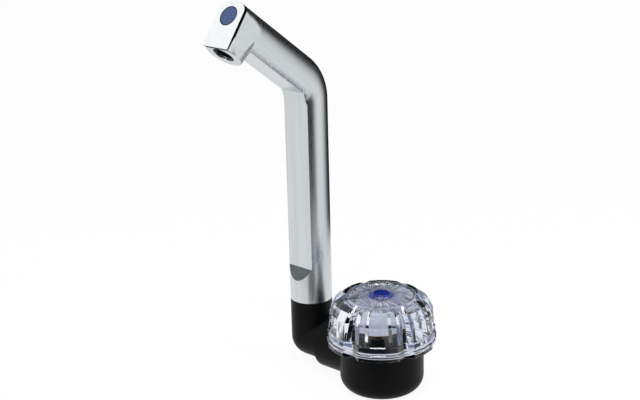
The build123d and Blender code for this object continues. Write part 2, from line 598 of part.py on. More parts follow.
# Elbow that folds in the collar and carries the spout
ELBOW_FACE = COLLAR_END + FACE_GAP
with BuildPart() as fold_elbow:
    with BuildSketch(foot_plane.offset(FOLD_HEIGHT)):
        Circle(TUBE_RADIUS)
    extrude(amount=SEAM_HEIGHT - FOLD_HEIGHT)
    with BuildSketch(fold_plane.offset(ELBOW_FACE)):
        Circle(TUBE_RADIUS)
    extrude(amount=FOOT_OFFSET - ELBOW_FACE)
    with Locations((-FOOT_OFFSET, 0, FOLD_HEIGHT)):
        Sphere(TUBE_RADIUS)
    with BuildSketch(fold_plane.offset(ELBOW_FACE)):
        Circle(SOCKET_RADIUS - RUNNING)
    extrude(amount=-(SOCKET_DEPTH + FACE_GAP - ROOM))
    # grooves of the two seals and of the screw that keeps the elbow in
    for setback in FOLD_RING_SETBACKS:
        with BuildSketch(fold_plane.offset(COLLAR_END - setback - GROOVE_HALF)):
            Circle(SOCKET_RADIUS)
            Circle(groove_floor(SOCKET_RADIUS), mode=Mode.SUBTRACT)
        extrude(amount=2 * GROOVE_HALF, mode=Mode.SUBTRACT)
    with BuildSketch(fold_plane.offset(COLLAR_END - FOLD_SCREW_SETBACK - GRUB_RADIUS - ROOM)):
        Circle(SOCKET_RADIUS)
        Circle(SOCKET_RADIUS - GRUB_GROOVE_DEPTH, mode=Mode.SUBTRACT)
    extrude(amount=2 * (GRUB_RADIUS + ROOM), mode=Mode.SUBTRACT)
    # water way and the spout's socket
    with BuildSketch(fold_plane.offset(COLLAR_END - SOCKET_DEPTH)):
        Circle(ELBOW_BORE_RADIUS)
    extrude(amount=FOOT_OFFSET - COLLAR_END + SOCKET_DEPTH, mode=Mode.SUBTRACT)
    with BuildSketch(foot_plane.offset(FOLD_HEIGHT)):
        Circle(ELBOW_BORE_RADIUS)
    extrude(amount=SEAM_HEIGHT - FOLD_HEIGHT, mode=Mode.SUBTRACT)
    with BuildSketch(foot_plane.offset(SWIVEL_SOCKET_FLOOR)):
        Circle(SWIVEL_SOCKET_RADIUS)
    extrude(amount=SEAM_HEIGHT - SWIVEL_SOCKET_FLOOR, mode=Mode.SUBTRACT)
    with BuildSketch(swivel_screw_plane):
        Circle(GRUB_RADIUS + THREAD)
    extrude(amount=TUBE_RADIUS, mode=Mode.SUBTRACT)
fold_elbow.part.label = "fold_elbow"
export_step(fold_elbow.part, "parts/fold_elbow.step")

with BuildPart() as elbow_o_rings:
    with BuildSketch(Plane(origin=(0, 0, FOLD_HEIGHT), x_dir=(0, 0, 1), z_dir=(0, 1, 0))):
        for setback in FOLD_RING_SETBACKS:
            Polygon(*ring_section(SOCKET_RADIUS, setback - COLLAR_END), align=None)
    revolve(axis=Axis((0, 0, FOLD_HEIGHT), (1, 0, 0)))
elbow_o_rings.part.label = "elbow_o_rings"
export_step(elbow_o_rings.part, "parts/elbow_o_rings.step")

with BuildPart() as swivel_grub_screw:
    with BuildSketch(swivel_screw_plane.offset(SWIVEL_SOCKET_RADIUS - GRUB_GROOVE_DEPTH + ROOM)):
        Circle(GRUB_RADIUS)
    extrude(amount=TUBE_RADIUS - GRUB_SINK - SWIVEL_SOCKET_RADIUS + GRUB_GROOVE_DEPTH - ROOM)
    with BuildSketch(swivel_screw_plane.offset(TUBE_RADIUS - GRUB_SINK)):
        RegularPolygon(GRUB_RADIUS / 2, HEX)
    extrude(amount=-GRUB_RADIUS, mode=Mode.SUBTRACT)
swivel_grub_screw.part.label = "swivel_grub_screw"
export_step(swivel_grub_screw.part, "parts/swivel_grub_screw.step")

# Spout: bent bar with a flat along its inner side, a nozzle under its end, and the pieces it holds
FLAT_REACH = (FLAT_DEPTH - ARM_FLAT_DEPTH * sin(radians(ARM_ELEVATION))) / cos(radians(ARM_ELEVATION))
FLAT_CORNER = BEND + ARM * FLAT_REACH - LIFT * ARM_FLAT_DEPTH
facet_start = FLAT_CORNER - Vector(0, 0, FACET_BELOW)
facet_end = FLAT_CORNER + ARM * FACET_ABOVE
flat_end = FLAT_CORNER + ARM * ARM_LENGTH
ramp_start = Vector(0, -TUBE_RADIUS, FLAT_START - RAMP_DROP)
ramp_lead = ramp_start + (ramp_start - Vector(0, -FLAT_DEPTH, FLAT_START))
BORE_END = BEND + ARM * (ARM_LENGTH - NOZZLE_SETBACK + NOZZLE_BORE_RADIUS)
with BuildPart() as spout_body:
    with BuildLine():
        FilletPolyline(
            (-FOOT_OFFSET, 0, SEAM_HEIGHT + RUNNING), tuple(BEND), tuple(PLATE_BACK), radius=BEND_RADIUS
        )
    with BuildSketch(foot_plane.offset(SEAM_HEIGHT + RUNNING)):
        Circle(TUBE_RADIUS)
    sweep()
    # side view of what the flat, its facet in the bend and its ramp take away
    with BuildSketch(Plane.YZ.offset(-FOOT_OFFSET)):
        with BuildLine():
            Polyline(
                (ramp_lead.Y, ramp_lead.Z),
                (-FLAT_DEPTH, FLAT_START),
                (facet_start.Y, facet_start.Z),
                (facet_end.Y, facet_end.Z),
                (flat_end.Y, flat_end.Z),
                (flat_end.Y, ramp_lead.Z),
                close=True,
            )
        make_face()
    extrude(amount=CLEAR_OF_BAR, both=True, mode=Mode.SUBTRACT)
    # nozzle, drafted towards its mouth, cut off behind the face plate and narrowed to its sides
    with Locations(nozzle_plane):
        Cone(
            NOZZLE_RADIUS + NOZZLE_DROP * tan(radians(NOZZLE_DRAFT)),
            NOZZLE_RADIUS,
            NOZZLE_DROP,
            align=(Align.CENTER, Align.CENTER, Align.MAX),
        )
    split(bisect_by=plate_plane, keep=Keep.BOTTOM)
    for side in (-1, 1):
        with BuildSketch(Plane(origin=PLATE_BACK + LIFT * TUBE_RADIUS, x_dir=ACROSS, z_dir=LIFT)):
            with BuildLine():
                Polyline(
                    (side * (PLATE_HALF_WIDTH + HEAD_LEDGE), 0),
                    (side * TUBE_RADIUS, SIDE_CUT_LENGTH),
                    (side * CLEAR_OF_BAR, SIDE_CUT_LENGTH),
                    (side * CLEAR_OF_BAR, 0),
                    close=True,
                )
            make_face()
        extrude(amount=-CLEAR_OF_BAR, mode=Mode.SUBTRACT)
    # water way up the spout and down the nozzle, and the seats at both ends
    with BuildLine():
        FilletPolyline((-FOOT_OFFSET, 0, SEAM_HEIGHT), tuple(BEND), tuple(BORE_END), radius=BEND_RADIUS)
    with BuildSketch(foot_plane.offset(SEAM_HEIGHT)):
        Circle(SPOUT_BORE_RADIUS)
    sweep(mode=Mode.SUBTRACT)
    with BuildSketch(nozzle_plane):
        Circle(NOZZLE_BORE_RADIUS)
    extrude(amount=-NOZZLE_DROP, mode=Mode.SUBTRACT)
    with BuildSketch(nozzle_plane):
        Circle(OUTLET_RADIUS)
    extrude(amount=-OUTLET_DEPTH, mode=Mode.SUBTRACT)
    with BuildSketch(foot_plane.offset(SEAM_HEIGHT)):
        Circle(SWIVEL_SOCKET_RADIUS)
    extrude(amount=SPIGOT_RISE + FACE_GAP, mode=Mode.SUBTRACT)
    with BuildSketch(plate_plane):
        with GridLocations(PEG_SPACING, 0, 2, 1):
            Rectangle(PEG_WIDTH + 2 * PRESS, PEG_WIDTH + 2 * PRESS)
    extrude(amount=-(PEG_LENGTH + FACE_GAP), mode=Mode.SUBTRACT)
spout_body.part.label = "spout_body"
export_step(spout_body.part, "parts/spout_body.step")

PLATE_SHOULDER = sqrt(TUBE_RADIUS**2 - PLATE_HALF_WIDTH**2)
with BuildPart() as face_plate:
    with BuildSketch(plate_plane):
        with BuildLine():
            Polyline(
                (-PLATE_HALF_WIDTH, PLATE_SHOULDER),
                (-PLATE_HALF_WIDTH, -NOZZLE_DROP),
                (PLATE_HALF_WIDTH, -NOZZLE_DROP),
                (PLATE_HALF_WIDTH, PLATE_SHOULDER),
            )
            ThreePointArc(
                (PLATE_HALF_WIDTH, PLATE_SHOULDER), (0, TUBE_RADIUS), (-PLATE_HALF_WIDTH, PLATE_SHOULDER)
            )
        make_face()
    extrude(amount=PLATE_THICKNESS)
    fillet(face_plate.edges().filter_by(Axis(PLATE_BACK, ARM)).sort_by(Axis.Z)[-2:], PLATE_CORNER)
    chamfer(face_plate.faces().sort_by(Axis(PLATE_BACK, ARM))[-1].edges(), PLATE_EDGE)
    with BuildSketch(plate_plane.offset(PLATE_THICKNESS - MARKER_THICKNESS)):
        with Locations((0, MARKER_RISE)):
            Circle(MARKER_RADIUS + RUNNING)
    extrude(amount=MARKER_THICKNESS, mode=Mode.SUBTRACT)
    with BuildSketch(plate_plane):
        with GridLocations(PEG_SPACING, 0, 2, 1):
            Rectangle(PEG_WIDTH, PEG_WIDTH)
    extrude(amount=-PEG_LENGTH)
face_plate.part.label = "face_plate"
export_step(face_plate.part, "parts/face_plate.step")

with BuildPart() as spout_marker:
    with BuildSketch(plate_plane.offset(PLATE_THICKNESS - MARKER_THICKNESS)):
        with Locations((0, MARKER_RISE)):
            Circle(MARKER_RADIUS)
    extrude(amount=MARKER_THICKNESS - RUNNING)
spout_marker.part.label = "spout_marker"
export_step(spout_marker.part, "parts/spout_marker.step")

with BuildPart() as outlet_insert:
    with BuildSketch(nozzle_plane.offset(-OUTLET_DEPTH)):
        Circle(OUTLET_RADIUS - PRESS)
        Circle(OUTLET_RADIUS - BAR, mode=Mode.SUBTRACT)
    extrude(amount=OUTLET_DEPTH - INSERT_SINK)
    with BuildSketch(nozzle_plane.offset(-OUTLET_DEPTH)):
        with PolarLocations(0, INSERT_BARS):
            Rectangle(2 * OUTLET_RADIUS - BAR, BAR)
    extrude(amount=OUTLET_DEPTH - 2 * INSERT_SINK)
outlet_insert.part.label = "outlet_insert"
export_step(outlet_insert.part, "parts/outlet_insert.step")

with BuildPart() as spout_spigot:
    with BuildSketch(foot_plane.offset(SPIGOT_BOTTOM)):
        Circle(SWIVEL_SOCKET_RADIUS - RUNNING)
        Circle(SPOUT_BORE_RADIUS, mode=Mode.SUBTRACT)
    extrude(amount=SPIGOT_TOP - SPIGOT_BOTTOM)
    for drop in SWIVEL_RING_DROPS:
        with BuildSketch(foot_plane.offset(SEAM_HEIGHT - drop - GROOVE_HALF)):
            Circle(SWIVEL_SOCKET_RADIUS)
            Circle(groove_floor(SWIVEL_SOCKET_RADIUS), mode=Mode.SUBTRACT)
        extrude(amount=2 * GROOVE_HALF, mode=Mode.SUBTRACT)
    with BuildSketch(foot_plane.offset(SEAM_HEIGHT - SWIVEL_SCREW_DROP - GRUB_RADIUS - ROOM)):
        Circle(SWIVEL_SOCKET_RADIUS)
        Circle(SWIVEL_SOCKET_RADIUS - GRUB_GROOVE_DEPTH, mode=Mode.SUBTRACT)
    extrude(amount=2 * (GRUB_RADIUS + ROOM), mode=Mode.SUBTRACT)
spout_spigot.part.label = "spout_spigot"
export_step(spout_spigot.part, "parts/spout_spigot.step")

with BuildPart() as spigot_o_rings:
    with BuildSketch(Plane(origin=(-FOOT_OFFSET, 0, 0), x_dir=(1, 0, 0), z_dir=(0, -1, 0))):
        for drop in SWIVEL_RING_DROPS:
            Polygon(*ring_section(SWIVEL_SOCKET_RADIUS, SEAM_HEIGHT - drop), align=None)
    revolve(axis=Axis((-FOOT_OFFSET, 0, 0), (0, 0, 1)))
spigot_o_rings.part.label = "spigot_o_rings"
export_step(spigot_o_rings.part, "parts/spigot_o_rings.step")
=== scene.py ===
import bmesh
import bpy
import json
import numpy as np
from mathutils import Matrix


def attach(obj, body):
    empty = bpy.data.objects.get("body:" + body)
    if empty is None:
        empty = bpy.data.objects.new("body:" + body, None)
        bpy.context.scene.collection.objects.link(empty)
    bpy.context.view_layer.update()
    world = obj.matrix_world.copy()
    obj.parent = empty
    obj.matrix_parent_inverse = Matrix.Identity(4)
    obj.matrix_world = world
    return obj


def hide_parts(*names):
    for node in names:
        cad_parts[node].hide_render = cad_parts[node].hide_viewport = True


# Folding deck tap: satin metal spout, black elbow and base, clear faceted knob. Metres, +Z up.
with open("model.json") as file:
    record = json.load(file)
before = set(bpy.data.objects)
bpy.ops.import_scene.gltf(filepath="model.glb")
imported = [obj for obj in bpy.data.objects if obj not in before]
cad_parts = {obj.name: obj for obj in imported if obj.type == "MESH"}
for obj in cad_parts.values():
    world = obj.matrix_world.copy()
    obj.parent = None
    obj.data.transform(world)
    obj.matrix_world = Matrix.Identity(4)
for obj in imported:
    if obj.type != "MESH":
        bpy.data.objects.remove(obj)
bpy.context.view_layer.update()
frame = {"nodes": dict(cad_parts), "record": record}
nodes = frame["nodes"]

MM = 0.001
# most of a noise pattern's values lie in this range
NOISE_SPAN = {"From Min": 0.3, "From Max": 0.7}


# Node materials. A Mix node's sockets go by number: 0 is the share, 2 and 3 take numbers, and 6 and 7 take
# colours.

def linear(code):
    """An sRGB hex colour as the linear RGBA that shaders take."""
    shares = np.array([int(code[i:i + 2], 16) for i in (0, 2, 4)]) / 255
    curved = np.where(shares <= 0.04045, shares / 12.92, ((shares + 0.055) / 1.055) ** 2.4)
    return (*curved.tolist(), 1.0)


def put(tree, kind, inputs, **settings):
    """Adds one node with its settings, and gives each named input its value or the socket that feeds it."""
    made = tree.nodes.new(kind)
    for name, value in settings.items():
        setattr(made, name, value)
    for name, value in inputs.items():
        if isinstance(value, bpy.types.NodeSocket):
            tree.links.new(value, made.inputs[name])
        else:
            made.inputs[name].default_value = value
    return made


def new_material(name):
    """An empty node material and its tree."""
    material = bpy.data.materials.new(name)
    material.use_nodes = True
    material.node_tree.nodes.clear()
    return material, material.node_tree


def per_metre(spacing):
    """A pattern's scale, from its spacing in millimetres."""
    return 1.0 / (spacing * MM)


def tone(tree, value, dark, light, span=NOISE_SPAN):
    """A colour between a dark and a light hex colour, as a pattern's value goes through its span."""
    share = put(tree, "ShaderNodeMapRange", {"Value": value, **span})
    ends = {6: linear(dark), 7: linear(light)}
    mixed = put(tree, "ShaderNodeMix", {0: share.outputs[0], **ends}, data_type="RGBA")
    return mixed.outputs[2]


# The spout's shape, as the part's source has it, in millimetres
BAR_RADIUS = 11.0
SPOUT_X = -48.5
SEAM = 37.55
CORNER_HEIGHT = 154.0
ARM_ANGLE = np.radians(37.0)
ARM_LENGTH = 66.0
PLATE_THICKNESS = 1.2
BEND_RADIUS = 17.0
FLAT_DEPTH = 7.5
ARM_FLAT_DEPTH = 8.0
FLAT_START = 57.0
RAMP_DROP = 7.0
FACET_BELOW = 5.2
FACET_ABOVE = 2.5
HEAD_HALF_WIDTH = 8.6
SIDE_CUT_LENGTH = 13.0
NOZZLE_SETBACK = 7.3
NOZZLE_DROP = 14.0
NOZZLE_RADIUS = 9.4
NOZZLE_DRAFT = np.radians(9.0)
NOZZLE_TILT = np.radians(5.0)
OUTLET_RADIUS = 5.45
OUTLET_DEPTH = 9.0
MARKER_RISE = 2.6

# edges that only this model rounds: the cuts' corners, the foot's rim, and the shoulders over the head's
# sides, which come to their full radius within a short run from the end
EDGE = 0.35
FOOT_RIM = 0.2
SHOULDER = 6.0
SHOULDER_RUN = 4.0
# the nozzle stands this far inside the head's sides and end, so that the two never share a plane
NOZZLE_INSET = 0.03
# painted shade of the gap behind the end plate reaches this far back
GAP_SHADE_WIDTH = 0.4

# side view, as (y, z): along the arm, and square to it upwards
ARM = np.array((-np.cos(ARM_ANGLE), np.sin(ARM_ANGLE)))
LIFT = np.array((np.sin(ARM_ANGLE), np.cos(ARM_ANGLE)))
CORNER = np.array((0.0, CORNER_HEIGHT))
HEAD_BACK = ARM_LENGTH - PLATE_THICKNESS
HEAD_TAPER = (BAR_RADIUS - HEAD_HALF_WIDTH) / SIDE_CUT_LENGTH

# millimetres: points closer than the first are one point, and edges shorter than the second are closed up
WELD = 0.004
SLIVER = 0.002
# faces that meet at a larger angle keep a sharp edge
CREASE = np.radians(12.0)


def mesh_piece(name, points, faces, body, cad_node, material):
    """A closed surface from millimetre points and faces, which rides on a body and replaces a CAD node."""
    mesh = bpy.data.meshes.new(name)
    mesh.from_pydata((points * MM).tolist(), [], faces)
    # where a corner's arc shrinks to nothing, its points meet and are joined
    joined = bmesh.new()
    joined.from_mesh(mesh)
    bmesh.ops.remove_doubles(joined, verts=joined.verts, dist=WELD * MM)
    bmesh.ops.dissolve_degenerate(joined, edges=joined.edges, dist=SLIVER * MM)
    joined.to_mesh(mesh)
    joined.free()
    mesh.shade_smooth()
    mesh.set_sharp_from_angle(angle=CREASE)
    mesh.materials.append(material)
    piece = bpy.data.objects.new(name, mesh)
    bpy.context.collection.objects.link(piece)
    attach(piece, body)
    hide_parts(cad_node)
    return piece


def grid_faces(rows, columns, first=0):
    """Faces of a grid that closes along its columns, and a cap of one face over its first and last row."""
    index = first + np.arange(rows * columns).reshape(rows, columns)
    after = np.roll(index, -1, axis=1)
    quads = np.stack([index[:-1], after[:-1], after[1:], index[1:]], axis=-1).reshape(-1, 4)
    return quads.tolist() + [index[0][::-1].tolist(), index[-1].tolist()]


def bar_surface():
    """The bent bar: along a line that bends on an arc, a circle cut by the flat and by the head's two sides.

    A row's section is the circle of radius R, kept where its depth w towards the inner side is at most W and
    its half-width u at most U. W is the largest of the depths at which the row meets the upright flat, the
    facet in the bend and the arm's flat, and grows along the ramp. The cut's corners are arcs of radius EDGE,
    and the shoulders over the head's sides are arcs that grow to SHOULDER within SHOULDER_RUN of its end.
    """
    tangent = BEND_RADIUS * np.tan((np.pi / 2 - ARM_ANGLE) / 2)
    bend_start = CORNER_HEIGHT - tangent
    reach = (FLAT_DEPTH - ARM_FLAT_DEPTH * np.sin(ARM_ANGLE)) / np.cos(ARM_ANGLE)
    flat_corner = CORNER + ARM * reach - LIFT * ARM_FLAT_DEPTH
    facet_low = flat_corner - np.array((0.0, FACET_BELOW))
    facet_high = flat_corner + ARM * FACET_ABOVE
    facet_way = (facet_high - facet_low) / np.linalg.norm(facet_high - facet_low)
    facet_out = np.array((-facet_way[1], facet_way[0]))

    # rows up the upright part, round the bend, along the arm and along the head, close together at the rim
    # and on the ramp
    ramp_foot = FLAT_START - RAMP_DROP
    upright = np.concatenate([
        [SEAM, SEAM + 0.08, SEAM + 0.25], np.linspace(SEAM + 1.45, ramp_foot, 5),
        np.linspace(ramp_foot + 0.3, FLAT_START - 0.3, 15), [FLAT_START],
        np.linspace(FLAT_START + 3, facet_low[1] - 0.5, 30), [facet_low[1]], [bend_start]])
    turned = np.linspace(0, np.pi / 2 - ARM_ANGLE, 60)[1:]
    along = np.concatenate([
        np.linspace(tangent, HEAD_BACK - SIDE_CUT_LENGTH, 20)[1:],
        np.linspace(HEAD_BACK - SIDE_CUT_LENGTH, HEAD_BACK, 14)[1:]])
    arc_middle = np.array((-BEND_RADIUS, bend_start))
    round_way = np.stack([np.cos(turned), np.sin(turned)], axis=1)
    centres = np.concatenate([
        np.stack([np.zeros_like(upright), upright], axis=1), arc_middle + BEND_RADIUS * round_way,
        CORNER + along[:, None] * ARM])
    inward = np.concatenate([
        np.tile((-1.0, 0.0), (len(upright), 1)), -round_way, np.tile(-LIFT, (len(along), 1))])

    # each row's depth W and half-width U
    depth = np.full(len(centres), -np.inf)
    for out, point in ((np.array((-1.0, 0.0)), flat_corner), (facet_out, facet_low), (-LIFT, flat_corner)):
        depth = np.maximum(depth, ((point - centres) @ out) / (inward @ out))
    on_upright = centres[:, 0] > -1e-6
    below_flat = np.clip((FLAT_START - centres[:, 1]) / RAMP_DROP, 0, 1) * on_upright
    depth = np.minimum(depth + below_flat * (BAR_RADIUS - FLAT_DEPTH), BAR_RADIUS)
    # the three rows at the foot's rim stay full circles
    depth[:3] = BAR_RADIUS
    back = (CORNER + HEAD_BACK * ARM - centres) @ ARM
    on_arm = np.arange(len(centres)) >= len(upright) + len(turned)
    width = np.where(on_arm, HEAD_HALF_WIDTH + back * HEAD_TAPER, BAR_RADIUS)
    width = np.minimum(width, BAR_RADIUS)

    # the corner circles' middles, and the angles at which they meet the bar's circle
    inner = BAR_RADIUS - EDGE
    flat_half = np.sqrt(np.maximum(inner**2 - (depth - EDGE) ** 2, 0))
    flat_turn = np.arctan2(flat_half, depth - EDGE)
    side_half = np.sqrt(np.maximum(inner**2 - (width - EDGE) ** 2, 0))
    side_turn = np.arctan2(width - EDGE, side_half)
    soft = np.where(on_arm, EDGE + (SHOULDER - EDGE) * np.clip(back / SHOULDER_RUN, 0, 1), EDGE)
    soft_half = np.sqrt(np.maximum((BAR_RADIUS - soft) ** 2 - (width - soft) ** 2, 0))
    soft_turn = np.arctan2(width - soft, soft_half)

    # the section's right half from the flat's middle to the bar's back: the flat, then five arcs, each given
    # by its middle, its radius, the angles that it turns through and its number of points
    none = np.zeros_like(depth)
    quarter, half = none + np.pi / 2, none + np.pi
    share = np.linspace(0, 1, 8)[:-1]
    across, towards = [flat_half[:, None] * share], [np.repeat(depth[:, None], len(share), axis=1)]
    for middle_u, middle_w, radius, start, end, count in (
            (flat_half, depth - EDGE, none + EDGE, none, flat_turn, 6),
            (none, none, none + BAR_RADIUS, flat_turn, side_turn, 26),
            (width - EDGE, side_half, none + EDGE, side_turn, quarter, 5),
            (width - soft, -soft_half, soft, quarter, np.pi - soft_turn, 9),
            (none, none, none + BAR_RADIUS, np.pi - soft_turn, half, 34)):
        turns = start[:, None] + (end - start)[:, None] * np.linspace(0, 1, count)
        across.append(middle_u[:, None] + radius[:, None] * np.sin(turns))
        towards.append(middle_w[:, None] + radius[:, None] * np.cos(turns))
    across, towards = np.concatenate(across, axis=1), np.concatenate(towards, axis=1)
    across = np.concatenate([across, -across[:, -2:0:-1]], axis=1)
    towards = np.concatenate([towards, towards[:, -2:0:-1]], axis=1)

    # the lower rim is broken by a small chamfer, which catches the light
    shrink = np.ones((len(centres), 1))
    shrink[0] = 1 - FOOT_RIM / BAR_RADIUS
    across, towards = across * shrink, towards * shrink
    side = centres[:, None, :] + towards[..., None] * inward[:, None, :]
    points = np.concatenate([(SPOUT_X + across)[..., None], side], axis=-1)
    return points.reshape(-1, 3), len(centres), across.shape[1]


def nozzle_surface():
    """The nozzle: a cone round a slanted axis, cut by the head's sides and end, with a blind bore.

    In each row square to the axis, the distance from the axis in a direction is the least of the cone's
    radius and the distances to the end plane and the two side planes. The columns follow the corners between
    them.
    """
    pour = ARM * np.sin(NOZZLE_TILT) - LIFT * np.cos(NOZZLE_TILT)
    front = ARM * np.cos(NOZZLE_TILT) + LIFT * np.sin(NOZZLE_TILT)
    lean = NOZZLE_SETBACK * np.tan(NOZZLE_TILT)
    mouth = CORNER + ARM * (ARM_LENGTH - NOZZLE_SETBACK) - LIFT * (NOZZLE_DROP + lean)
    # rows from the mouth upwards, the first three round the lip
    upper_rows = 36
    rise = np.concatenate([[0.0, 0.1, 0.3], np.linspace(0.8, NOZZLE_DROP, upper_rows)])
    lip = np.concatenate([[0.3, 0.08, 0.0], np.zeros(upper_rows)])
    cone = NOZZLE_RADIUS + rise * np.tan(NOZZLE_DRAFT)
    middle = mouth - pour * rise[:, None]
    back = -(middle - (CORNER + ARM * HEAD_BACK)) @ ARM - NOZZLE_INSET
    side_reach = HEAD_HALF_WIDTH - NOZZLE_INSET + HEAD_TAPER * back

    # the angles of the right half's corners, from the back over the side plane to the end plane
    slope = HEAD_TAPER * (front @ ARM)
    side_middle = np.arctan(slope)
    side_half = np.arccos(np.clip(side_reach / (cone * np.hypot(1, slope)), -1, 1))
    ahead = back / (front @ ARM)
    end_turn = np.arcsin(np.clip(ahead / cone, -1, 1))
    corner_turn = np.arctan2(ahead, HEAD_HALF_WIDTH)
    past_side = np.minimum(side_middle + side_half, corner_turn)
    stops = [np.full_like(cone, -np.pi / 2), side_middle - side_half, past_side,
             np.maximum(end_turn, past_side), np.full_like(cone, np.pi / 2)]
    turns = [stops[i][:, None] + (stops[i + 1] - stops[i])[:, None] * np.linspace(0, 1, count, endpoint=False)
             for i, count in enumerate((40, 24, 10, 24))]
    right = np.concatenate([*turns, stops[4][:, None]], axis=1)
    turn = np.concatenate([right, np.pi - right[:, -2:0:-1]], axis=1)
    with np.errstate(divide="ignore"):
        to_end = np.where(np.sin(turn) > 1e-6, ahead[:, None] / np.sin(turn), np.inf)
        spread = np.abs(np.cos(turn)) + slope * np.sin(turn)
        to_side = np.where(spread > 1e-6, side_reach[:, None] / spread, np.inf)
    reach = np.minimum(np.minimum(to_end, to_side), cone[:, None]) - lip[:, None]

    # the bore's rows come first, from its floor to its rounded lip
    bore_rise = np.array((OUTLET_DEPTH, OUTLET_DEPTH - 0.1, 0.3, 0.1, 0.0))
    bore = OUTLET_RADIUS + np.array((0.0, 0.0, 0.0, 0.08, 0.3))
    rise = np.concatenate([bore_rise, rise])
    reach = np.concatenate([np.repeat(bore[:, None], turn.shape[1], axis=1), reach])
    turn = np.concatenate([np.repeat(turn[:1], len(bore), axis=0), turn])
    middle = mouth - pour * rise[:, None]
    side = middle[:, None, :] + (reach * np.sin(turn))[..., None] * front
    points = np.concatenate([(SPOUT_X + reach * np.cos(turn))[..., None], side], axis=-1)
    return points.reshape(-1, 3), len(rise), turn.shape[1]


# The knob's shape, in millimetres and degrees: its outside as in the part's source, its hollow with prisms.
# A lobe's corners lie on columns, whose angles from its middle are the same for every row.
LOBES = 6
LOBE_TURN = 360 / LOBES
KNOB_TURN = -53.5
COLUMN_TURNS = np.array((-27, -24, -22, -20.5, -18, -15, -12, -9.5, -7, -3.5, 0,
                         3.5, 7, 9.5, 12, 15, 18, 20.5, 22, 24, 27, 30))
OUTER_TURNS = (-20.5, -7, 7, 20.5, 30)
INNER_TURNS = (-24, -18, -12, 12, 18, 24, 30)
BAND_NOTCH = 3.2
RIM_NOTCH = 1.6
PRISM_CUT = 2.0
DISC_SEAT_RADIUS = 17.45
BOSS_HOLE_RADIUS = 7.02


def edged(turns, radii):
    """Radius at each column of a lobe with straight edges between corners given as angle and radius.

    On the line between two corners, the radius is the product of theirs times the sine of the angle between
    them, over the sum of each one's radius times the sine of the angle from it.
    """
    turns = np.radians(np.concatenate([np.array(turns[-1:]) - LOBE_TURN, turns]))
    radii = np.concatenate([radii[-1:], radii])
    place = np.radians(COLUMN_TURNS)
    after = np.clip(np.searchsorted(turns, place - 1e-9), 1, len(turns) - 1)
    low, high, near, far = turns[after - 1], turns[after], radii[after - 1], radii[after]
    lobe = near * far * np.sin(high - low) / (near * np.sin(place - low) + far * np.sin(high - place))
    return np.tile(lobe, LOBES)


def knob_surface():
    """The clear knob: rows of radius over angle, up the lobed outside, over the top and down the hollow.

    Outside rows are lobes of three flats with a V notch between two. Rows in the hollow are a flat window
    behind each lobe with a V cut and a prism on both sides of it, drawn in as they rise. Round the foot,
    slanted rings turn the light from below towards the front as bright bands, with upright dark ones between.
    """
    def outside(radius, notch=BAND_NOTCH):
        return edged(OUTER_TURNS, np.array((radius, radius, radius, radius, radius - notch)))

    def inside(middle, side, rib):
        cut = (middle + side) / 2 - PRISM_CUT
        return edged(INNER_TURNS, np.array((side, cut, middle, middle, cut, side, rib)))

    def ring(radius):
        return np.full(len(COLUMN_TURNS) * LOBES, radius)

    rows = [
        # the foot's two ledges, the lobes and the dome
        (25.9, outside(28.2)), (29.3, outside(28.2)), (29.8, outside(27.7)), (33.1, outside(27.7)),
        (33.8, outside(27.0)), (43.5, outside(26.4)), (48.2, outside(24.0)),
        (51.1, outside(19.8, RIM_NOTCH)),
        # the disc's seat and the hole for the hub's boss
        (51.1, ring(DISC_SEAT_RADIUS)), (48.9, ring(DISC_SEAT_RADIUS)), (48.9, ring(BOSS_HOLE_RADIUS)),
        (47.0, ring(BOSS_HOLE_RADIUS)),
        # windows and prisms
        (47.0, inside(17.8, 18.4, 16.8)), (42.0, inside(20.2, 22.0, 19.4)), (34.6, inside(22.2, 23.4, 20.4)),
        # slanted rings down to the foot
        (31.8, ring(22.7)), (29.7, ring(22.8)), (29.3, ring(23.2)), (28.1, ring(22.4)), (27.6, ring(22.9)),
        (27.0, ring(22.5)), (26.5, ring(22.8)), (25.9, ring(22.4))]
    radius = np.array([row[1] for row in rows])
    height = np.repeat(np.array([row[0] for row in rows])[:, None], radius.shape[1], axis=1)
    turn = np.radians(KNOB_TURN + (LOBE_TURN * np.arange(LOBES)[:, None] + COLUMN_TURNS).ravel())
    points = np.stack([radius * np.cos(turn), radius * np.sin(turn), height], axis=-1)
    index = np.arange(height.size).reshape(height.shape)
    next_row, next_column = np.roll(index, -1, axis=0), np.roll(index, -1, axis=1)
    quads = np.stack([index, next_column, np.roll(next_column, -1, axis=0), next_row], axis=-1)
    return points.reshape(-1, 3), quads.reshape(-1, 4).tolist()


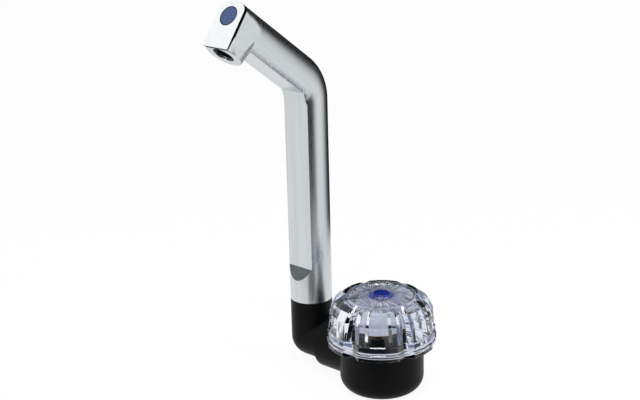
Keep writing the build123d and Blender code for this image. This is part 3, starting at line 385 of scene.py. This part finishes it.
def satin_aluminium():
    """Brushed and clear anodised aluminium bar, drawn and then satin finished lengthways.

    Fine lines along its length blur reflections sideways. The milled run-out of the flat is left rough and
    darker, and a band of painted shade lies just behind the end plate, where the gap is.
    """
    material, tree = new_material("satin_anodised_aluminium")
    place = put(tree, "ShaderNodeTexCoord", {}).outputs["Object"]
    corner = (SPOUT_X * MM, 0, CORNER_HEIGHT * MM)
    from_corner = put(tree, "ShaderNodeVectorMath", {0: place, 1: corner}, operation="SUBTRACT").outputs[0]

    def along(x, y, z):
        """Distance from the bend's corner along a direction."""
        product = put(tree, "ShaderNodeVectorMath", {0: from_corner, 1: (x, y, z)}, operation="DOT_PRODUCT")
        return product.outputs["Value"]

    # place on the bar: across it, square to its flat and along its length, on both sides of the bend
    across, up_bar, square_bar = along(1, 0, 0), along(0, 0, -1), along(0, 1, 0)
    up_arm, square_arm = along(0, *ARM), along(0, *LIFT)
    half_way = along(0, ARM[0], 1 + ARM[1])
    past_bend = put(tree, "ShaderNodeMath", {0: half_way, 1: 0.0}, operation="GREATER_THAN").outputs[0]
    length = put(tree, "ShaderNodeMix", {0: past_bend, 2: up_bar, 3: up_arm}, data_type="FLOAT")
    square = put(tree, "ShaderNodeMix", {0: past_bend, 2: square_bar, 3: square_arm}, data_type="FLOAT")
    bar_place = put(tree, "ShaderNodeCombineXYZ", {
        0: across, 1: square.outputs[0], 2: length.outputs[0]}).outputs[0]

    # real brush lines are 0.1 mm apart, too fine to show: drawn 0.45 mm apart and 30 mm long
    fine_scale = (per_metre(0.45), per_metre(0.45), per_metre(30))
    fine = put(tree, "ShaderNodeMapping", {"Vector": bar_place, "Scale": fine_scale})
    brushing = put(tree, "ShaderNodeTexNoise", {
        "Vector": fine.outputs[0], "Scale": 1.0, "Detail": 4.0, "Roughness": 0.65})
    # broad streaks that drawing leaves, 2 mm apart and 90 mm long
    broad_scale = (per_metre(2), per_metre(2), per_metre(90))
    broad = put(tree, "ShaderNodeMapping", {"Vector": bar_place, "Scale": broad_scale})
    streaks = put(tree, "ShaderNodeTexNoise", {"Vector": broad.outputs[0], "Scale": 1.0, "Detail": 2.0})
    both = put(tree, "ShaderNodeMath", {0: brushing.outputs[0], 1: streaks.outputs[0]}, operation="ADD")
    colour = tone(tree, both.outputs[0], "C6CBCE", "D2D6D9", {"From Min": 0.75, "From Max": 1.25})
    gloss = put(tree, "ShaderNodeMapRange", {
        "Value": brushing.outputs[0], **NOISE_SPAN, "To Min": 0.24, "To Max": 0.32}).outputs[0]

    # the ramp: within 0.1 mm of its plane, and more than 0.25 mm outside the flat's
    ramp_out = np.array((-RAMP_DROP, BAR_RADIUS - FLAT_DEPTH)) / np.hypot(RAMP_DROP, BAR_RADIUS - FLAT_DEPTH)
    ramp_top = np.array((-FLAT_DEPTH, FLAT_START - CORNER_HEIGHT)) @ ramp_out
    off_ramp = put(tree, "ShaderNodeMath", {0: along(0, *ramp_out), 1: ramp_top * MM}, operation="SUBTRACT")
    on_ramp = put(tree, "ShaderNodeMath", {0: off_ramp.outputs[0], 1: 0.0, 2: 0.1 * MM}, operation="COMPARE")
    past_flat = -(FLAT_DEPTH + 0.25) * MM
    outside_flat = put(tree, "ShaderNodeMath", {0: square_bar, 1: past_flat}, operation="LESS_THAN")
    milled = put(tree, "ShaderNodeMath", {0: on_ramp.outputs[0], 1: outside_flat.outputs[0]},
                 operation="MULTIPLY").outputs[0]
    # milling marks and grit, 0.6 mm apart
    grit = put(tree, "ShaderNodeTexNoise", {
        "Vector": place, "Scale": per_metre(0.6), "Detail": 4.0, "Roughness": 0.7})
    raw = tone(tree, grit.outputs[0], "2E3336", "83898D")
    colour = put(tree, "ShaderNodeMix", {0: milled, 6: colour, 7: raw}, data_type="RGBA").outputs[2]
    gloss = put(tree, "ShaderNodeMix", {0: milled, 2: gloss, 3: 0.55}, data_type="FLOAT").outputs[0]
    height = put(tree, "ShaderNodeMix", {
        0: milled, 2: brushing.outputs[0], 3: grit.outputs[0]}, data_type="FLOAT")
    depth = put(tree, "ShaderNodeMix", {0: milled, 2: 0.03, 3: 0.8}, data_type="FLOAT")
    bump = put(tree, "ShaderNodeBump", {
        "Height": height.outputs[0], "Strength": depth.outputs[0], "Distance": 0.02 * MM})

    # painted shade: a near-black band on the bar just behind the end plate stands for the shadow in the gap
    # there
    gap_shade_start = (HEAD_BACK - GAP_SHADE_WIDTH) * MM
    in_gap_shade = put(tree, "ShaderNodeMath", {0: up_arm, 1: gap_shade_start}, operation="GREATER_THAN").outputs[0]
    colour = put(tree, "ShaderNodeMix", {0: in_gap_shade, 6: colour, 7: linear("101214")}, data_type="RGBA")
    shader = put(tree, "ShaderNodeBsdfPrincipled", {
        "Base Color": colour.outputs[2], "Metallic": 1.0, "Roughness": gloss, "Normal": bump.outputs[0]})
    put(tree, "ShaderNodeOutputMaterial", {"Surface": shader.outputs[0]})
    return material


def polished_chrome():
    """Chrome plate, polished: a bright mirror with the faint cloud that wiping leaves.

    Its side walls carry a painted dark reflection, which draws a dark line round the bright face.
    """
    material, tree = new_material("polished_chrome")
    coordinates = put(tree, "ShaderNodeTexCoord", {})
    wiping = put(tree, "ShaderNodeTexNoise", {
        "Vector": coordinates.outputs["Object"], "Scale": per_metre(4), "Detail": 3.0})
    facing = put(tree, "ShaderNodeVectorMath", {0: coordinates.outputs["Normal"], 1: (0, *ARM)},
                 operation="DOT_PRODUCT")
    edge = put(tree, "ShaderNodeMath", {0: facing.outputs["Value"], 1: 0.4}, operation="LESS_THAN").outputs[0]
    bright = tone(tree, wiping.outputs[0], "F1F3F5", "FAFBFC")
    # painted reflection: side walls that turn away from the plate's axis are coloured near black, for the
    # dark surroundings they would mirror
    painted_dark_reflection = tone(tree, wiping.outputs[0], "0B0C0D", "17191B")
    colour = put(tree, "ShaderNodeMix", {0: edge, 6: bright, 7: painted_dark_reflection}, data_type="RGBA").outputs[2]
    gloss = put(tree, "ShaderNodeMapRange", {
        "Value": wiping.outputs[0], **NOISE_SPAN, "To Min": 0.05, "To Max": 0.10}).outputs[0]
    roughness = put(tree, "ShaderNodeMath", {0: edge, 1: 0.4, 2: gloss}, operation="MULTIPLY_ADD").outputs[0]
    shader = put(tree, "ShaderNodeBsdfPrincipled", {
        "Base Color": colour, "Metallic": 1.0, "Roughness": roughness})
    put(tree, "ShaderNodeOutputMaterial", {"Surface": shader.outputs[0]})
    return material


def navy_enamel():
    """Navy enamel filled into the plate's recess: mottled and matt, with painted shade darkening its rim."""
    material, tree = new_material("navy_enamel")
    place = put(tree, "ShaderNodeTexCoord", {}).outputs["Object"]
    middle = (SPOUT_X * MM, *((CORNER + LIFT * MARKER_RISE) * MM).tolist())
    off = put(tree, "ShaderNodeVectorMath", {0: place, 1: middle}, operation="SUBTRACT")
    beside = put(tree, "ShaderNodeVectorMath", {0: off.outputs[0], 1: (1, 0, 0)}, operation="DOT_PRODUCT")
    above = put(tree, "ShaderNodeVectorMath", {0: off.outputs[0], 1: (0, *LIFT)}, operation="DOT_PRODUCT")
    across = put(tree, "ShaderNodeCombineXYZ", {0: beside.outputs["Value"], 1: above.outputs["Value"]})
    radius = put(tree, "ShaderNodeVectorMath", {0: across.outputs[0]}, operation="LENGTH").outputs["Value"]
    # painted shade: the outer rim is darkened as though the recess's edge shaded it
    rim = put(tree, "ShaderNodeMapRange", {
        "Value": radius, "From Min": 4.3 * MM, "From Max": 4.8 * MM}, interpolation_type="SMOOTHSTEP")
    # clots of pigment, 0.9 mm
    mottle = put(tree, "ShaderNodeTexNoise", {
        "Vector": place, "Scale": per_metre(0.9), "Detail": 4.0, "Roughness": 0.6})
    paint = tone(tree, mottle.outputs[0], "32426A", "50628A")
    colour = put(tree, "ShaderNodeMix", {0: rim.outputs[0], 6: paint, 7: linear("0C1228")}, data_type="RGBA")
    bump = put(tree, "ShaderNodeBump", {"Height": mottle.outputs[0], "Strength": 0.2, "Distance": 0.05 * MM})
    shader = put(tree, "ShaderNodeBsdfPrincipled", {
        "Base Color": colour.outputs[2], "Roughness": 0.5, "Specular IOR Level": 0.15,
        "Normal": bump.outputs[0]})
    put(tree, "ShaderNodeOutputMaterial", {"Surface": shader.outputs[0]})
    return material


def black_nylon():
    """Black glass-filled nylon, moulded with a fine spark texture: near black, with a soft wide gloss."""
    material, tree = new_material("moulded_black_nylon")
    place = put(tree, "ShaderNodeTexCoord", {}).outputs["Object"]
    # spark grain, 0.25 mm, and flow of the melt, 14 mm
    grain = put(tree, "ShaderNodeTexNoise", {"Vector": place, "Scale": per_metre(0.25), "Detail": 2.0})
    flow = put(tree, "ShaderNodeTexNoise", {"Vector": place, "Scale": per_metre(14), "Detail": 2.0})
    gloss = put(tree, "ShaderNodeMapRange", {
        "Value": flow.outputs[0], **NOISE_SPAN, "To Min": 0.40, "To Max": 0.48}).outputs[0]
    bump = put(tree, "ShaderNodeBump", {"Height": grain.outputs[0], "Strength": 0.12, "Distance": 0.03 * MM})
    shader = put(tree, "ShaderNodeBsdfPrincipled", {
        "Base Color": tone(tree, flow.outputs[0], "040506", "08090B"), "Roughness": gloss, "IOR": 1.53,
        "Specular IOR Level": 0.08, "Normal": bump.outputs[0]})
    put(tree, "ShaderNodeOutputMaterial", {"Surface": shader.outputs[0]})
    return material


def clear_acrylic():
    """Clear acrylic, injection moulded in a polished tool: bends what is behind it, with faint flow waves.

    A cool cast deepens where light has come a long way through it.
    """
    material, tree = new_material("clear_acrylic")
    place = put(tree, "ShaderNodeTexCoord", {}).outputs["Object"]
    # flow waves, 5 mm
    flow = put(tree, "ShaderNodeTexNoise", {"Vector": place, "Scale": per_metre(5), "Detail": 1.0})
    bump = put(tree, "ShaderNodeBump", {"Height": flow.outputs[0], "Strength": 0.25, "Distance": 0.25 * MM})
    shader = put(tree, "ShaderNodeBsdfPrincipled", {
        "Base Color": tone(tree, flow.outputs[0], "F0F4FD", "F8FAFE"), "Roughness": 0.0, "IOR": 1.49,
        "Transmission Weight": 1.0, "Normal": bump.outputs[0]})
    cast = put(tree, "ShaderNodeVolumeAbsorption", {"Color": linear("8FA1C6"), "Density": 15.0})
    put(tree, "ShaderNodeOutputMaterial", {"Surface": shader.outputs[0], "Volume": cast.outputs[0]})
    return material


def rayed_acrylic():
    """The same acrylic as a thin disc: the rays moulded into its back are frosted and so look pale.

    Their ends near the hole carry a painted blue reflection of the dot.
    """
    material, tree = new_material("rayed_acrylic")
    place = put(tree, "ShaderNodeTexCoord", {}).outputs["Object"]
    height = put(tree, "ShaderNodeVectorMath", {0: place, 1: (0, 0, 1)},
                 operation="DOT_PRODUCT").outputs["Value"]
    flattened = put(tree, "ShaderNodeVectorMath", {0: place, 1: (1, 1, 0)}, operation="MULTIPLY").outputs[0]
    radius = put(tree, "ShaderNodeVectorMath", {0: flattened}, operation="LENGTH").outputs["Value"]
    # the rays lie under the disc's face and within its rim, and the painted reflection of the dot fades
    # outwards along them
    low = put(tree, "ShaderNodeMath", {0: height, 1: 50.3 * MM}, operation="LESS_THAN").outputs[0]
    within = put(tree, "ShaderNodeMath", {0: radius, 1: 16.3 * MM}, operation="LESS_THAN").outputs[0]
    rays = put(tree, "ShaderNodeMath", {0: low, 1: within}, operation="MULTIPLY").outputs[0]
    dot_reflection = put(tree, "ShaderNodeMapRange", {
        "Value": radius, "From Min": 8.2 * MM, "From Max": 5.6 * MM, "To Max": rays},
        interpolation_type="SMOOTHSTEP")
    # blasted grain, 0.3 mm
    grain = put(tree, "ShaderNodeTexNoise", {"Vector": place, "Scale": per_metre(0.3), "Detail": 2.0})
    frost = tone(tree, grain.outputs[0], "B3BACB", "EEF0F6")
    # painted reflection: the dot's blue mixed into the rays' colour near the hole
    colour = put(tree, "ShaderNodeMix", {0: dot_reflection.outputs[0], 6: frost, 7: linear("19309A")},
                 data_type="RGBA")
    gloss = put(tree, "ShaderNodeMapRange", {
        "Value": grain.outputs[0], **NOISE_SPAN, "To Min": 0.18, "To Max": 0.34}).outputs[0]
    roughness = put(tree, "ShaderNodeMath", {0: rays, 1: gloss}, operation="MULTIPLY").outputs[0]
    shader = put(tree, "ShaderNodeBsdfPrincipled", {
        "Base Color": colour.outputs[2], "Roughness": roughness, "IOR": 1.49, "Transmission Weight": 1.0})
    put(tree, "ShaderNodeOutputMaterial", {"Surface": shader.outputs[0]})
    return material


def frosted_acrylic():
    """Frosted acrylic, moulded in a blasted tool: milky, and lets some light through."""
    material, tree = new_material("frosted_acrylic")
    place = put(tree, "ShaderNodeTexCoord", {}).outputs["Object"]
    # blasted grain, 0.3 mm, and clouds of the melt, 6 mm
    grain = put(tree, "ShaderNodeTexNoise", {"Vector": place, "Scale": per_metre(0.3), "Detail": 2.0})
    cloud = put(tree, "ShaderNodeTexNoise", {"Vector": place, "Scale": per_metre(6), "Detail": 2.0})
    bump = put(tree, "ShaderNodeBump", {"Height": grain.outputs[0], "Strength": 0.2, "Distance": 0.03 * MM})
    shader = put(tree, "ShaderNodeBsdfPrincipled", {
        "Base Color": tone(tree, cloud.outputs[0], "AFB4BF", "D6DAE3"), "Roughness": 0.4, "IOR": 1.49,
        "Transmission Weight": 0.2, "Normal": bump.outputs[0]})
    put(tree, "ShaderNodeOutputMaterial", {"Surface": shader.outputs[0]})
    return material


def grained(name, dark, light, roughness, spacing, metallic=0.0, specular=0.5, stretch=(1, 1, 1)):
    """A plain moulded or turned finish: fine grain of a real spacing changes its tone and gloss a little."""
    material, tree = new_material(name)
    place = put(tree, "ShaderNodeTexCoord", {}).outputs["Object"]
    scale = tuple(per_metre(spacing) * share for share in stretch)
    scaled = put(tree, "ShaderNodeMapping", {"Vector": place, "Scale": scale})
    grain = put(tree, "ShaderNodeTexNoise", {"Vector": scaled.outputs[0], "Scale": 1.0, "Detail": 3.0})
    gloss = put(tree, "ShaderNodeMapRange", {
        "Value": grain.outputs[0], **NOISE_SPAN, "To Min": roughness * 0.85,
        "To Max": roughness * 1.15}).outputs[0]
    bump = put(tree, "ShaderNodeBump", {"Height": grain.outputs[0], "Strength": 0.15, "Distance": 0.02 * MM})
    shader = put(tree, "ShaderNodeBsdfPrincipled", {
        "Base Color": tone(tree, grain.outputs[0], dark, light), "Metallic": metallic, "Roughness": gloss,
        "Specular IOR Level": specular, "Normal": bump.outputs[0]})
    put(tree, "ShaderNodeOutputMaterial", {"Surface": shader.outputs[0]})
    return material


finishes = {
    "satin_metal": satin_aluminium(),
    "bright_plate": polished_chrome(),
    "black_moulding": black_nylon(),
    "clear_plastic": clear_acrylic(),
    "frosted_plastic": frosted_acrylic(),
    "navy_plastic": navy_enamel(),
    # royal blue acetal, moulded and glossy
    "blue_plastic": grained("royal_blue_acetal", "13236F", "192C82", 0.22, 1.5),
    # black acetal, moulded and matt
    "black_insert": grained("black_acetal", "040405", "090909", 0.45, 0.5, specular=0.3),
    # black nitrile rubber, moulded, dull with a faint bloom
    "seal_rubber": grained("nitrile_rubber", "101112", "1D1E20", 0.62, 0.6, specular=0.35),
    # brass turned on a lathe: fine rings round the axis
    "plain_brass": grained("turned_brass", "B8913F", "D6B268", 0.28, 0.5, metallic=1.0,
                           stretch=(0.1, 0.1, 1)),
    # steel with a bright zinc plate: cloudy blue-grey
    "plated_steel": grained("zinc_plated_steel", "A3A9B2", "C3C8CF", 0.33, 1.2, metallic=1.0),
}
slot_of = {row["node"]: row["material_slot"] for row in frame["record"]["subparts"]}
for name, piece in nodes.items():
    for place in piece.material_slots:
        place.material = finishes[slot_of[name]]
nodes["index_disc"].material_slots[0].material = rayed_acrylic()

knob_points, knob_faces = knob_surface()
knob_shell = mesh_piece("knob_shell", knob_points, knob_faces, "knob", "crystal_knob",
                        finishes["clear_plastic"])
# moulded edges are never sharp: 0.2 mm rounding draws the bright and dark lines along the facets
rounding = knob_shell.modifiers.new("moulded_edges", "BEVEL")
rounding.width = 0.2 * MM
rounding.segments = 2
rounding.limit_method = "ANGLE"
rounding.angle_limit = np.radians(11)
rounding.harden_normals = True
# clear plastic throws hardly any shadow on what it holds
for clear in (knob_shell, nodes["index_disc"]):
    clear.visible_shadow = False
# light that is thrown back inside the shell leaves it at once, which keeps its prisms crisp and unclouded
knob_shell.visible_glossy = False

bar_points, bar_rows, bar_columns = bar_surface()
nozzle_points, nozzle_rows, nozzle_columns = nozzle_surface()
mesh_piece("spout_skin", np.concatenate([bar_points, nozzle_points]),
           grid_faces(bar_rows, bar_columns) + grid_faces(nozzle_rows, nozzle_columns, len(bar_points)),
           "spout", "spout_body", finishes["satin_metal"])

# Studio, in metres and degrees: white paper floor and surround, soft lamps, and black flags that only
# reflections show, two of them through clear plastic as well
FLAG_COLUMNS = 24
FLAG_LIFT = 0.0005
world = bpy.data.worlds.new("studio")
bpy.context.scene.world = world
world.use_nodes = True
world.node_tree.nodes.clear()


def shown(tree):
    """1 for camera, glossy and transmission rays, else 0."""
    ray = put(tree, "ShaderNodeLightPath", {})
    both = put(tree, "ShaderNodeMath", {0: ray.outputs["Is Camera Ray"], 1: ray.outputs["Is Glossy Ray"]},
               operation="ADD")
    return put(tree, "ShaderNodeMath", {0: both.outputs[0], 1: ray.outputs["Is Transmission Ray"]},
               operation="ADD", use_clamp=True).outputs[0]


sky = world.node_tree
strength = put(sky, "ShaderNodeMapRange", {"Value": shown(sky), "To Min": 0.55, "To Max": 1.0})
surround = put(sky, "ShaderNodeBackground", {"Color": linear("FFFFFF"), "Strength": strength.outputs[0]})
put(sky, "ShaderNodeOutputWorld", {"Surface": surround.outputs[0]})


def stage_piece(name, points, faces, material):
    """A piece of the studio, from its points and faces."""
    mesh = bpy.data.meshes.new(name)
    mesh.from_pydata(points, [], faces)
    mesh.materials.append(material)
    piece = bpy.data.objects.new(name, mesh)
    bpy.context.collection.objects.link(piece)
    return piece


def white_paper():
    """White seamless paper, matt: shines white by itself, and takes a little shade from the lamps."""
    material, tree = new_material("white_paper_floor")
    matt = put(tree, "ShaderNodeBsdfDiffuse", {"Color": linear("FAFAFA")})
    lift = put(tree, "ShaderNodeEmission", {"Color": linear("FFFFFF"), "Strength": shown(tree)})
    paper = put(tree, "ShaderNodeMixShader", {0: 0.92, 1: matt.outputs[0], 2: lift.outputs[0]})
    put(tree, "ShaderNodeOutputMaterial", {"Surface": paper.outputs[0]})
    return material


def flag_cloth(name, cover_at):
    """Black flag cloth with soft edges: black where the cover is 1, clear where it is 0.

    cover_at works the cover out from the tree and the place of a point.
    """
    material, tree = new_material(name)
    cover = cover_at(tree, put(tree, "ShaderNodeTexCoord", {}).outputs["Object"])
    clear = put(tree, "ShaderNodeBsdfTransparent", {})
    black = put(tree, "ShaderNodeBsdfDiffuse", {"Color": linear("080808")})
    cloth = put(tree, "ShaderNodeMixShader", {0: cover, 1: clear.outputs[0], 2: black.outputs[0]})
    put(tree, "ShaderNodeOutputMaterial", {"Surface": cloth.outputs[0]})
    return material


def stage_flag(name, points, faces, cover_at, through):
    """A flag that only reflections show, and clear plastic if through is set."""
    flag = stage_piece(name, points, faces, flag_cloth(name, cover_at))
    flag.visible_camera = False
    flag.visible_diffuse = False
    flag.visible_transmission = through
    flag.visible_shadow = False


def curved_flag(name, start, full, fade, end, distance, low, high, through):
    """A flag bent round the spout at a distance and between two heights, at angles from +X.

    It is clear at its start and end angles, and black between its full and fade angles.
    """
    def cover_at(tree, place):
        parts = put(tree, "ShaderNodeSeparateXYZ", {0: place})
        off_spout = put(tree, "ShaderNodeMath", {0: parts.outputs[0], 1: SPOUT_X * MM}, operation="SUBTRACT")
        angle = put(tree, "ShaderNodeMath", {0: parts.outputs[1], 1: off_spout.outputs[0]},
                    operation="ARCTAN2")
        rising, falling = [
            put(tree, "ShaderNodeMapRange", {
                "Value": angle.outputs[0], "From Min": np.radians(clear), "From Max": np.radians(black)},
                interpolation_type="SMOOTHSTEP").outputs[0]
            for clear, black in ((start, full), (end, fade))]
        return put(tree, "ShaderNodeMath", {0: rising, 1: falling}, operation="MULTIPLY").outputs[0]

    turns = np.radians(np.linspace(start, end, FLAG_COLUMNS))
    foot = np.stack([SPOUT_X * MM + distance * np.cos(turns), distance * np.sin(turns)], axis=1)
    points = np.concatenate([np.column_stack([foot, np.full(FLAG_COLUMNS, rise)]) for rise in (low, high)])
    faces = [(i, i + 1, i + 1 + FLAG_COLUMNS, i + FLAG_COLUMNS) for i in range(FLAG_COLUMNS - 1)]
    stage_flag(name, points.tolist(), faces, cover_at, through)


def floor_flag(name, middle, clear, full):
    """A round flag just over the floor: clear past one distance from its middle, black within another."""
    def cover_at(tree, place):
        away = put(tree, "ShaderNodeVectorMath", {0: place, 1: (*middle, 0)}, operation="DISTANCE")
        return put(tree, "ShaderNodeMapRange", {
            "Value": away.outputs["Value"], "From Min": clear, "From Max": full},
            interpolation_type="SMOOTHSTEP").outputs[0]

    points = [(x, y, FLAG_LIFT) for x, y in ((-0.04, -0.19), (0.15, -0.19), (0.15, 0), (-0.04, 0))]
    stage_flag(name, points, [(0, 1, 2, 3)], cover_at, True)


stage_piece("floor", [(-4, -4, 0), (4, -4, 0), (4, 4, 0), (-4, 4, 0)], [(0, 1, 2, 3)], white_paper())
# round the spout, a low one in front and a high one behind: the dark bands in its bright metal
curved_flag("front_flag", -115, -95, -16, 10, 0.235, 0.0, 0.18, True)
curved_flag("back_flag", 34, 80, 136, 146, 0.19, 0.008, 0.45, False)
# in front of the knob: keeps the clear front and the black base free of the floor's glare
floor_flag("floor_flag", (0.052, -0.092), 0.058, 0.040)


def soft_lamp(name, place, towards, width, height, watts):
    """A soft lamp at a place, turned so that it shines towards a point."""
    lamp = bpy.data.lights.new(name, "AREA")
    lamp.shape = "RECTANGLE"
    lamp.size = width
    lamp.size_y = height
    lamp.energy = watts
    holder = bpy.data.objects.new(name, lamp)
    away = np.array(place, float) - np.array(towards, float)
    away /= np.linalg.norm(away)
    side = np.cross((0, 0, 1), away)
    side /= np.linalg.norm(side)
    top = np.cross(away, side)
    holder.matrix_world = Matrix([(side[i], top[i], away[i], place[i]) for i in range(3)] + [(0, 0, 0, 1)])
    bpy.context.collection.objects.link(holder)


soft_lamp("lamp_front", (0.35, -1.1, 1.0), (0, 0, 0.1), 0.9, 0.9, 10.0)
# narrow and strong, high up: glints on the edges of the clear knob
soft_lamp("lamp_top", (0.23, -0.43, 1.03), (0, 0, 0.03), 0.5, 0.1, 3.4)
soft_lamp("lamp_right", (1.0, 0.3, 0.9), (0, 0, 0.1), 0.6, 0.6, 5.0)

# Camera at the photograph's place: 43 degrees round from the front, 18 degrees up
AZIMUTH, ELEVATION, ROLL = np.radians((43.0, 18.23, -1.49))
DISTANCE = 0.68684
TARGET = np.array((-0.01867, -0.02338, 0.10348))
FOCAL_LENGTH = 78.75
level = np.array((np.cos(AZIMUTH), np.sin(AZIMUTH), 0.0))
back = np.array((level[1] * np.cos(ELEVATION), -level[0] * np.cos(ELEVATION), np.sin(ELEVATION)))
raised = np.cross(back, level)
right = level * np.cos(ROLL) + raised * np.sin(ROLL)
up = raised * np.cos(ROLL) - level * np.sin(ROLL)
eye = TARGET + back * DISTANCE
camera = bpy.data.cameras.new("camera")
camera.lens = FOCAL_LENGTH
camera.sensor_width = 36.0
camera.sensor_fit = "HORIZONTAL"
camera.clip_start = 0.01
camera_holder = bpy.data.objects.new("camera", camera)
camera_holder.matrix_world = Matrix([(right[i], up[i], back[i], eye[i]) for i in range(3)] + [(0, 0, 0, 1)])
bpy.context.collection.objects.link(camera_holder)
bpy.context.scene.camera = camera_holder
bpy.context.scene.view_settings.view_transform = "Standard"
